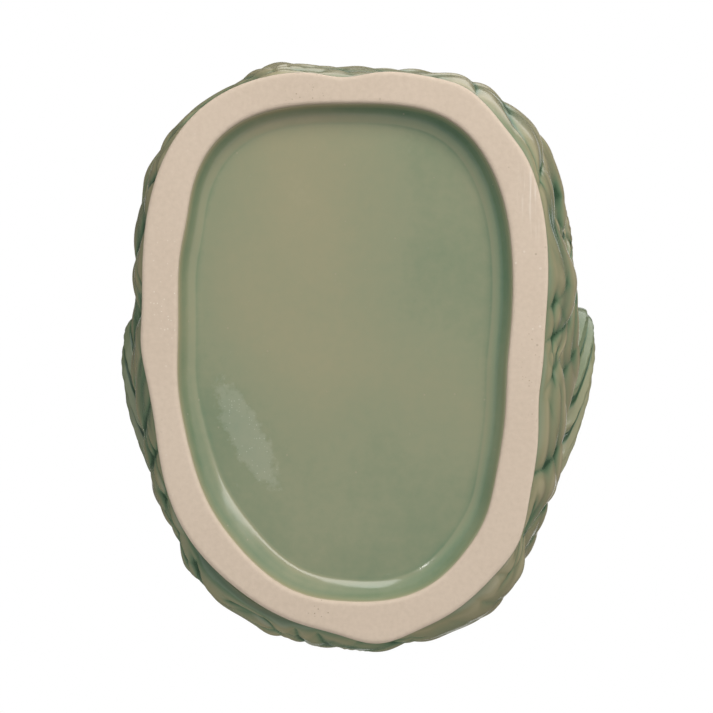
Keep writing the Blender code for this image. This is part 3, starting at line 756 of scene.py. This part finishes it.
def dorsal_rings():
    """Crest of spines joined by webs down the middle of the nape, raked back and thinning to both ends."""
    share = np.linspace(0, 1, 241)[:, None]
    spine = (0.5 + 0.5 * np.cos(2 * pi * DORSAL_SPINES * share)) ** 1.5
    ends = np.sqrt(np.sin(pi * np.clip(share, 0.004, 0.996)))
    high = DORSAL_HEIGHT * (0.15 + 0.85 * np.sin(pi * share ** 1.4)) * (1 - DORSAL_WEB * (1 - spine)) * ends
    side = np.concatenate([np.linspace(-1, 1, 40), np.linspace(0.8, -0.8, 8)])
    level = np.concatenate([1 - np.abs(np.linspace(-1, 1, 40)) ** 0.62, np.full(8, -0.12)])
    swell = (1 + 0.14 * spine * np.sin(pi * np.clip(level, 0, 1))) * (0.35 + 0.65 * ends)
    rake = DORSAL_RAKE * np.clip(level, 0, 1)
    s = DORSAL_SPAN[0] + (DORSAL_SPAN[1] - DORSAL_SPAN[0]) * share - rake
    return skin(pi / 2 - DORSAL_HALF_ANGLE * side * swell, s, high * level)


# Tail

def tail_frame(at):
    """Centre, way along and way across the tail at a position, in the upright middle plane."""
    centre = along(TAIL[:, :2], at)
    ahead = along(TAIL[:, :2], at + 0.01) - along(TAIL[:, :2], at - 0.01)
    ahead = ahead / np.linalg.norm(ahead, axis=-1, keepdims=True)
    behind = np.stack([ahead[..., 1], -ahead[..., 0]], axis=-1)
    return centre, ahead, behind


def tail_skin(round_, at, grow):
    """Points on the tail at an angle round it and a position along it."""
    round_, at, grow = np.broadcast_arrays(round_, at, grow)
    half_depth, half_width = np.moveaxis(along(TAIL[:, 2:], at), -1, 0)
    centre, _, behind = tail_frame(at)
    middle = centre + behind * ((half_depth + grow) * np.sin(round_))[..., None]
    x = (half_width + grow) * np.cos(round_)
    return np.concatenate([x[..., None], middle], axis=-1)


def tail_rings():
    """Tail from inside the trunk to the root of its fin, scaled towards the fin."""
    round_ = turn(TAIL_SCALE_COLUMNS * 24)
    end = len(TAIL) - 1.0
    column = round_ * TAIL_SCALE_COLUMNS / (2 * pi)
    pitch = (end - TAIL_SCALE_START) / (TAIL_SCALE_ROWS + 0.5)
    rings = [tail_skin(round_, at, 0.0) for at in (0.0, 0.4, 0.8)]
    for row, high in scale_lines(column, TAIL_SCALE_ROWS, TAIL_SCALE_STEP, TAIL_SCALE_DOME):
        rings.append(tail_skin(round_, TAIL_SCALE_START + pitch * row, high))
    rings.append(tail_skin(round_, end, 0.0))
    return np.stack(rings)


def tail_fin_rings():
    """Notched fan of rays spreading from the oval end of the tail."""
    end = len(TAIL) - 1.0
    centre, ahead, behind = tail_frame(np.array(end - 0.02))
    half_depth, half_width = TAIL[-1][2:]
    round_ = turn(320)
    side = np.cos(round_)
    ridge = np.cos(TAIL_FIN_RAYS * np.arccos(side))
    fine = np.cos(3 * TAIL_FIN_RAYS * np.arccos(side))
    rings = []
    for out in np.linspace(-0.03, 1.0, 56):
        go = max(out, 0.0)
        notch = TAIL_FIN_NOTCH * (1 - np.abs(side)) ** 1.3
        tips = 0.09 * smooth_step(np.abs(side), 0.86, 1.0)
        length = TAIL_FIN_LENGTH * (1 - notch - tips * go + 0.03 * ridge * go)
        spread = half_depth + (TAIL_FIN_SPREAD - half_depth) * go ** 0.85
        thick = half_width + (TAIL_FIN_TIP - half_width) * go ** 0.6
        thick = thick * (1 - 0.65 * smooth_step(out, 0.965, 1.0))
        x = thick * np.sign(np.sin(round_)) * np.abs(np.sin(round_)) ** (1 - 0.5 * go)
        x = x * (1 + (0.16 * ridge + 0.05 * fine) * go) + 0 * side
        reach = (length * out)[:, None]
        middle = centre + ahead * reach + behind * (spread * side)[:, None]
        rings.append(np.concatenate([x[:, None], middle], axis=-1))
    return np.stack(rings)


def body_envelope():
    """Body a little inside its skin, to trim what is joined to it."""
    u = turn(96)
    return np.stack([skin(u, s, TRIM_DEPTH) for s in np.linspace(0, S_LIP, 60)])


# Finishes

def new_material(name):
    """Empty node material, its node tree, its Principled shader and object coordinates."""
    made = bpy.data.materials.new(name)
    made.use_nodes = True
    tree = made.node_tree
    return made, tree, tree.nodes["Principled BSDF"], new_node(tree, "TexCoord").outputs["Object"]


def put(tree, value, socket):
    """Link a socket to another, or set a number, vector or colour on it."""
    if isinstance(value, bpy.types.NodeSocket):
        tree.links.new(value, socket)
    else:
        socket.default_value = (*value, 1.0) if socket.type == "RGBA" else value


def fill(tree, node, **inputs):
    """Link or set the named inputs of a node; underscores stand for spaces."""
    for name, value in inputs.items():
        put(tree, value, node.inputs[name.replace("_", " ")])


def new_node(tree, kind, **inputs):
    """Shader node of a kind, with the named inputs linked or set."""
    made = tree.nodes.new("ShaderNode" + kind)
    fill(tree, made, **inputs)
    return made


def noise(tree, place, scale, detail):
    """Noise texture over object coordinates."""
    made = new_node(tree, "TexNoise", Vector=place, Scale=scale, Detail=detail, Roughness=NOISE_ROUGH)
    return made.outputs["Fac"]


def ramp(tree, value, *stops):
    """Colour ramp through the given stops: position and colour."""
    made = new_node(tree, "ValToRGB", Fac=value)
    elements = made.color_ramp.elements
    while len(elements) < len(stops):
        elements.new(0.5)
    for element, (at, colour) in zip(elements, stops):
        element.position = at
        element.color = (*colour, 1.0)
    return made.outputs["Color"]


def tones(tree, value, *stops):
    """Ramp of greys through the given stops: position and level."""
    return ramp(tree, value, *((at, (level,) * 3) for at, level in stops))


def combine(tree, operation, *values):
    """Math node on sockets or numbers."""
    made = tree.nodes.new("ShaderNodeMath")
    made.operation = operation
    for socket, value in zip(made.inputs, values):
        put(tree, value, socket)
    return made.outputs["Value"]


def scaled(tree, value, by, plus=0.0):
    """Value times one number or socket, plus another."""
    return combine(tree, "MULTIPLY_ADD", value, by, plus)


def mixed(tree, share, first, second, blend="MIX"):
    """Colour mix of two sockets or colours."""
    made = tree.nodes.new("ShaderNodeMix")
    made.data_type = "RGBA"
    made.blend_type = blend
    for socket, value in zip((made.inputs["Factor"], made.inputs[6], made.inputs[7]), (share, first, second)):
        put(tree, value, socket)
    return made.outputs[2]


def mixed_shader(tree, share, first, second):
    """Mix of two shaders."""
    made = new_node(tree, "MixShader", Fac=share)
    put(tree, first, made.inputs[1])
    put(tree, second, made.inputs[2])
    return made.outputs["Shader"]


def parts(tree, vector):
    """X, Y and Z of a vector."""
    return new_node(tree, "SeparateXYZ", Vector=vector).outputs


def stored_depth(tree):
    """Glaze depth, with the painted shade and light in it, stored on the points."""
    made = new_node(tree, "Attribute")
    made.attribute_name = DEPTH_NAME
    return made.outputs["Fac"]


def specks(tree, place, scale, size, least):
    """Scattered dots: 1 inside, 0 outside; least is the share of cells left empty."""
    cells = new_node(tree, "TexVoronoi", Vector=place, Scale=scale).outputs
    inside = combine(tree, "LESS_THAN", cells["Distance"], size)
    chosen = new_node(tree, "SeparateColor", Color=cells["Color"]).outputs["Red"]
    return scaled(tree, inside, combine(tree, "GREATER_THAN", chosen, least))


def patch(tree, place, middle, angle, size):
    """Soft-edged oval turned by an angle, in millimetres: 1 in its middle, 0 outside."""
    move = new_node(tree, "Mapping", Vector=place, Location=[MM * value for value in middle],
                    Rotation=(0, 0, angle), Scale=[MM * value for value in size])
    move.vector_type = "TEXTURE"
    ball = new_node(tree, "TexGradient", Vector=move.outputs["Vector"])
    ball.gradient_type = "SPHERICAL"
    return ball.outputs["Fac"]


def relief(tree, shader, height, distance, strength):
    """Bump from a height socket."""
    made = new_node(tree, "Bump", Height=height, Distance=distance, Strength=strength)
    fill(tree, shader, Normal=made.outputs["Normal"])


NOISE_ROUGH = 0.55
# Colour of the glaze by its depth
GLAZE_COLOURS = ((0.0, (0.42, 0.365, 0.235)), (0.30, (0.285, 0.268, 0.156)), (0.52, (0.232, 0.250, 0.148)),
                 (0.74, (0.122, 0.187, 0.106)), (1.0, (0.038, 0.080, 0.041)))
GLAZE_BROAD, GLAZE_FINE = 0.34, 0.12
# Painted shade towards the fish's right and painted light towards its left: glaze depth for each metre to its
# left
GLAZE_SIDE_SHADE = -1.8
# Depth that the glaze has on the pieces beyond what pools there
BODY_LIFT, FIN_LIFT, EYE_LIFT = 0.21, 0.20, -0.12
BODY_ROUGH, PANEL_ROUGH, ROUGH_HAZE = 0.14, 0.07, 0.16
GLAZE_IOR = 1.45
GLAZE_COAT, COAT_ROUGH = 0.04, 0.04
PINHOLE = (0.34, 0.30, 0.21)


def glaze_colour(tree, place, shift):
    """Glaze colour from its depth, painted shade included, and a shift of it, mottled broadly and finely."""
    value = combine(tree, "ADD", stored_depth(tree), shift)
    value = combine(tree, "ADD", value, -(GLAZE_BROAD + GLAZE_FINE) / 2)
    value = scaled(tree, noise(tree, place, 28, 3), GLAZE_BROAD, value)
    value = scaled(tree, noise(tree, place, 420, 4), GLAZE_FINE, value)
    return ramp(tree, value, *GLAZE_COLOURS)


def finish_glaze(tree, shader, place, colour, rough):
    """Gloss, pinholes and a slightly rippled surface for a glaze of the given colour."""
    holes = specks(tree, place, 480, 0.10, 0.90)
    spotted = mixed(tree, scaled(tree, holes, 0.45), colour, PINHOLE)
    hazy = scaled(tree, noise(tree, place, 60, 3), ROUGH_HAZE, rough)
    fill(tree, shader, Base_Color=spotted, Roughness=hazy, IOR=GLAZE_IOR, Coat_Weight=GLAZE_COAT,
         Coat_Roughness=COAT_ROUGH)
    ripple = noise(tree, place, 170, 2)
    relief(tree, shader, scaled(tree, holes, -0.5, ripple), 0.12 * MM, 0.5)


def glaze(name, lift):
    """Sage green glaze, cream where it is thin, darker towards the fish's right as painted shade; lift makes
    it deeper or thinner all over.
    """
    made, tree, shader, place = new_material(name)
    shift = scaled(tree, parts(tree, place)["X"], GLAZE_SIDE_SHADE, lift)
    finish_glaze(tree, shader, place, glaze_colour(tree, place, shift), BODY_ROUGH)
    return made


# Cooler, darker tint painted in the fillet on the fish's left as painted shade, where the wall is turned from
# the light
PANEL_SHADE_TINT = (0.86, 1.0, 0.99)
# Olive cloud and hazy patch on the panel: middle, angle and size in millimetres
PANEL_WARM = ((-8, -26, 5), 0.0, (24, 44, 40))
PANEL_HAZE = ((-21, 17.5, 4.8), radians(63), (16, 4.8, 20))
HAZE, SUGAR = (0.40, 0.43, 0.34), (0.55, 0.58, 0.49)
# Height over which the shades of the foot and panel change
FOOT_SHADES = 6 * MM


def panel_glaze(name):
    """Glaze of the sunk panel: broad olive and sage clouds, olive towards the mouth, lighter towards the
    fish's left as painted light, a cooler painted shade in the fillet on that side, with a hazy patch.
    """
    made, tree, shader, place = new_material(name)
    at = parts(tree, place)
    warm = tones(tree, patch(tree, place, *PANEL_WARM), (0.0, 0.0), (0.35, 0.6), (0.8, 1.0))
    shift = scaled(tree, at["Y"], 0.3, -0.06)
    # Painted light: lighter towards the fish's left
    shift = scaled(tree, at["X"], -0.7, shift)
    shift = scaled(tree, warm, -0.20, shift)
    shift = scaled(tree, noise(tree, place, 16, 2), 0.20, shift)
    colour = glaze_colour(tree, place, shift)
    ragged = scaled(tree, noise(tree, place, 700, 4), 0.9, patch(tree, place, *PANEL_HAZE))
    haze = tones(tree, ragged, (0.62, 0.0), (0.82, 1.0))
    colour = mixed(tree, scaled(tree, haze, 0.24), colour, HAZE)
    sugar = scaled(tree, specks(tree, place, 1900, 0.24, 0.70), haze)
    colour = mixed(tree, scaled(tree, sugar, 0.3), colour, SUGAR)
    # Painted shade: the cooler tint low in the recess on the fish's left
    hollow = tones(tree, scaled(tree, at["Z"], 1 / FOOT_SHADES), (0.75, 1.0), (0.82, 0.0))
    left = tones(tree, scaled(tree, at["X"], 1 / (60 * MM), 0.5), (0.40, 0.0), (0.80, 1.0))
    colour = mixed(tree, scaled(tree, hollow, left), colour, PANEL_SHADE_TINT, "MULTIPLY")
    finish_glaze(tree, shader, place, colour, PANEL_ROUGH)
    return made


CLAY = ((0.30, (0.545, 0.44, 0.34)), (0.55, (0.60, 0.49, 0.385)), (0.75, (0.635, 0.525, 0.415)))
CLAY_PIT, CLAY_GRIT = (0.33, 0.25, 0.18), (0.74, 0.66, 0.57)
# Small marks on the ground face in millimetres: middle of a patch of them, its half width and length, colour
PITTED = (((-5.5, 53.5), (4, 3), (0.30, 0.22, 0.15)), ((-38, -13), (5, 16), (0.74, 0.67, 0.58)),
          ((40, 4), (4, 15), (0.40, 0.29, 0.19)), ((-8, -54), (6, 3), (0.34, 0.26, 0.18)))
# Patch of scratches: middle, angle and size in millimetres
SCRATCHED = ((39.5, -32, 0), radians(-12), (4, 10, 5))
# Glaze on the outer and inner sides of the foot, from its lower edge up; the dark band low on the outer side
# is pooled glaze and painted shade in the gap under the skirt
FLANK_GLAZE_AND_SHADE = ((0.30, (0.30, 0.27, 0.16)), (0.38, (0.19, 0.20, 0.11)), (0.50, (0.105, 0.145, 0.08)),
               (0.8, (0.13, 0.175, 0.10)))
INSIDE_GLAZE = ((0.30, (0.52, 0.43, 0.32)), (0.60, (0.38, 0.34, 0.23)))


def bare_clay(tree, place, cloud, grain, dark, worn):
    """Colour of the fired clay with its specks, small pits and scratches."""
    clay = ramp(tree, scaled(tree, grain, 0.5, scaled(tree, cloud, 0.5)), *CLAY)
    pale = scaled(tree, specks(tree, place, 610, 0.16, 0.80), worn)
    clay = mixed(tree, scaled(tree, dark, 0.55), clay, CLAY_PIT)
    clay = mixed(tree, scaled(tree, pale, 0.5), clay, CLAY_GRIT)
    tiny = specks(tree, place, 1400, 0.21, 0.66)
    for middle, half, colour in PITTED:
        near = tones(tree, patch(tree, place, (*middle, 0), 0.0, (*half, 5)), (0.0, 0.0), (0.5, 0.7))
        clay = mixed(tree, scaled(tree, near, tiny), clay, colour)
    drawn = new_node(tree, "Mapping", Vector=place, Rotation=(0, 0, SCRATCHED[1]), Scale=(1.0, 0.06, 1.0))
    scratch = tones(tree, noise(tree, drawn.outputs["Vector"], 1500, 2), (0.52, 0.0), (0.66, 1.0))
    fresh = scaled(tree, patch(tree, place, *SCRATCHED), scratch)
    return mixed(tree, scaled(tree, fresh, 0.8), clay, CLAY_GRIT)


def biscuit(name):
    """Bare fired clay below, glaze creeping down the sides of the foot to a thin tan line, and a dark band of
    pooled glaze and painted shade on its outer side.
    """
    made, tree, shader, place = new_material(name)
    cloud = noise(tree, place, 22, 4)
    grain = noise(tree, place, 900, 3)
    worn = tones(tree, noise(tree, place, 34, 2), (0.50, 0.12), (0.66, 1.0))
    dark = scaled(tree, specks(tree, place, 520, 0.13, 0.80), worn)
    clay = bare_clay(tree, place, cloud, grain, dark, worn)
    height = combine(tree, "ADD", parts(tree, place)["Z"], scaled(tree, cloud, 0.6 * MM, -0.3 * MM))
    share = scaled(tree, height, 1 / FOOT_SHADES)
    cover = tones(tree, share, (0.05, 0.0), (0.11, 1.0))
    runs = scaled(tree, noise(tree, place, 120, 3), 0.5, share)
    coat = mixed(tree, stored_depth(tree), ramp(tree, runs, *INSIDE_GLAZE), ramp(tree, runs, *FLANK_GLAZE_AND_SHADE))
    gloss = tones(tree, cover, (0.0, 0.82), (1.0, 0.16))
    fill(tree, shader, Base_Color=mixed(tree, cover, clay, coat), Roughness=gloss, IOR=GLAZE_IOR)
    relief(tree, shader, scaled(tree, dark, -1.2, grain), 0.08 * MM, 0.35)
    return made


# Studio

def set_place(made, right, up, back, place):
    """Put a camera or lamp at a place, looking away from back."""
    made.matrix_world = Matrix([(right[i], up[i], back[i], place[i]) for i in range(3)] + [(0, 0, 0, 1)])


def look_up_camera():
    """Camera under the jug looking up at its foot, the mouth side towards the top of the picture."""
    data = bpy.data.cameras.new("camera")
    data.sensor_width = SENSOR
    data.lens = PIXELS_PER_MM * CAMERA_DISTANCE / MM / PICTURE * SENSOR
    data.shift_x = (PICTURE / 2 - FOOT_MIDDLE[0]) / PICTURE
    data.shift_y = (FOOT_MIDDLE[1] - PICTURE / 2) / PICTURE
    data.clip_start = 0.01
    data.clip_end = 50
    right = np.array([cos(CAMERA_YAW), 0.0, sin(CAMERA_YAW)])
    up = np.array([0.0, -1.0, 0.0])
    right, up = (cos(CAMERA_ROLL) * right - sin(CAMERA_ROLL) * up,
                 sin(CAMERA_ROLL) * right + cos(CAMERA_ROLL) * up)
    back = np.cross(right, up)
    made = add_object("camera", data)
    set_place(made, right, up, back, back * CAMERA_DISTANCE)
    bpy.context.scene.camera = made


# Lamps: name, place, target, width and height, power, and whether it shines in the glaze or only fills
LAMPS = (
    ("lamp_above", (0.35, -1.10, 0.75), (0, 0, 0.12), (1.3, 1.3), 7.0, True),
    ("lamp_behind", (-0.70, 0.95, 0.75), (0, 0, 0.12), (1.2, 1.2), 13.0, False),
    ("lamp_beside", (1.00, 0.85, 0.30), (0, 0, 0.03), (0.6, 0.6), 4.0, False),
    ("lamp_spark", (-0.40, -0.44, -0.79), (0, 0, 0), (0.06, 0.08), 0.35, True),
    ("lamp_below", (0.30, -0.62, -0.66), (0, 0, 0), (1.15, 0.46), 9.5, True),
)


def lamp(name, place, target, size, power, shine):
    """Soft lamp of the given width and height aimed at a point."""
    data = bpy.data.lights.new(name, "AREA")
    data.shape = "RECTANGLE"
    data.size, data.size_y = size
    data.energy = power
    made = add_object(name, data)
    made.visible_glossy = shine
    back = np.subtract(place, target)
    back = back / np.linalg.norm(back)
    side = np.cross((0.0, 0.0, 1.0), back)
    side = side / np.linalg.norm(side)
    set_place(made, side, np.cross(back, side), back, place)


AMBIENT = (0.43, 0.43, 0.43)
# Backdrop by the height of the ray, from straight down to straight up: white behind the views, dim between
BACKDROP = ((0.0, 1.0), (0.57, 1.0), (0.66, 0.04), (0.981, 0.04), (0.987, 1.0))


def white_world():
    """Soft light from all round; white behind the object."""
    world = bpy.data.worlds.new("studio")
    bpy.context.scene.world = world
    world.use_nodes = True
    tree = world.node_tree
    path = new_node(tree, "LightPath").outputs
    seen = combine(tree, "MAXIMUM", path["Is Camera Ray"], path["Is Glossy Ray"])
    seen = combine(tree, "MAXIMUM", seen, path["Is Transmission Ray"])
    way = parts(tree, new_node(tree, "TexCoord").outputs["Generated"])
    backdrop = tones(tree, scaled(tree, way["Z"], 0.5, 0.5), *BACKDROP)
    fill(tree, tree.nodes["Background"], Color=mixed(tree, seen, AMBIENT, backdrop))


FLOOR_HALF = 30.0
FLOOR_FADE = 1.0
FLOOR_Z = -0.4 * MM
FLOOR_ROUGH = 0.9


def pale_floor():
    """Pale floor seen from above only, so that the view from below is clear; white further off."""
    mesh = bpy.data.meshes.new("floor")
    corners = [(x * FLOOR_HALF, y * FLOOR_HALF, FLOOR_Z) for x, y in ((-1, -1), (1, -1), (1, 1), (-1, 1))]
    mesh.from_pydata(corners, [], [(0, 1, 2, 3)])
    floor = add_object("floor", mesh)
    made, tree, shader, place = new_material("pale_floor")
    pale = tones(tree, noise(tree, place, 9, 3), (0.3, 0.84), (0.7, 0.87))
    fill(tree, shader, Base_Color=pale, Roughness=FLOOR_ROUGH)
    far = tree.nodes.new("ShaderNodeVectorMath")
    far.operation = "LENGTH"
    put(tree, place, far.inputs[0])
    fade = tones(tree, scaled(tree, far.outputs["Value"], 0.5 / FLOOR_FADE), (0.10, 0.0), (0.5, 1.0))
    white = new_node(tree, "Emission", Strength=1.0).outputs["Emission"]
    tone = mixed_shader(tree, fade, shader.outputs["BSDF"], white)
    under = new_node(tree, "NewGeometry").outputs["Backfacing"]
    clear = mixed_shader(tree, under, tone, new_node(tree, "BsdfTransparent").outputs["BSDF"])
    fill(tree, tree.nodes["Material Output"], Surface=clear)
    mesh.materials.append(made)
    floor.visible_shadow = False
    floor.visible_diffuse = False
    floor.visible_glossy = False
    floor.visible_transmission = False


def build_jug():
    """Make every visual piece; a finish is a material and the slot that it stands for."""
    body = glaze("body_glaze_look", BODY_LIFT), "body_glaze"
    fins = glaze("fin_glaze_look", FIN_LIFT), "fin_glaze"
    eyes = glaze("eye_glaze_look", EYE_LIFT), "eye_glaze"
    panel = panel_glaze("panel_glaze_look"), "panel_glaze"
    clay = biscuit("bare_biscuit_look"), "bare_biscuit"

    foot, outward = foot_ring_rings()
    piece("foot_ring", foot, clay, wrap=True, pool=outward)
    sunk, sunk_depth = base_panel_rings()
    piece("base_panel", sunk, panel, pool=sunk_depth)
    skirt, skirt_depth = skirt_rings()
    piece("wave_skirt", skirt, body, wrap=True, pool=skirt_depth)
    piece("trunk_shell", trunk_rings(), body, wrap=True)
    piece("head_shell", head_rings(), body, wrap=True)
    piece("upper_lip", lip_rings(UPPER_LIP_ENDS, 0.0), fins)
    piece("lower_lip", lip_rings(LOWER_LIP_ENDS, SPOUT_REACH), fins)
    for name, rings, finish in (("gill_cover", gill_rings(), fins), ("eye", eye_rings(), eyes)):
        piece("left_" + name, rings, finish)
        piece("right_" + name, mirrored(rings), finish)
    for name, left, right in (("pectoral_fin", PECTORAL, RIGHT_PECTORAL), ("pelvic_fin", PELVIC, PELVIC)):
        piece("left_" + name, fin_rings(left), fins, thinnest=fin_glaze(left))
        piece("right_" + name, mirrored(fin_rings(right)), fins, thinnest=fin_glaze(right))
    piece("dorsal_fin", dorsal_rings(), fins)
    trim(piece("tail_handle", tail_rings(), body), body_envelope())
    trim(piece("tail_fin", tail_fin_rings(), fins), body_envelope())


build_jug()
look_up_camera()
pale_floor()
white_world()
for row in LAMPS:
    lamp(*row)

bpy.context.scene.view_settings.view_transform = "Standard"
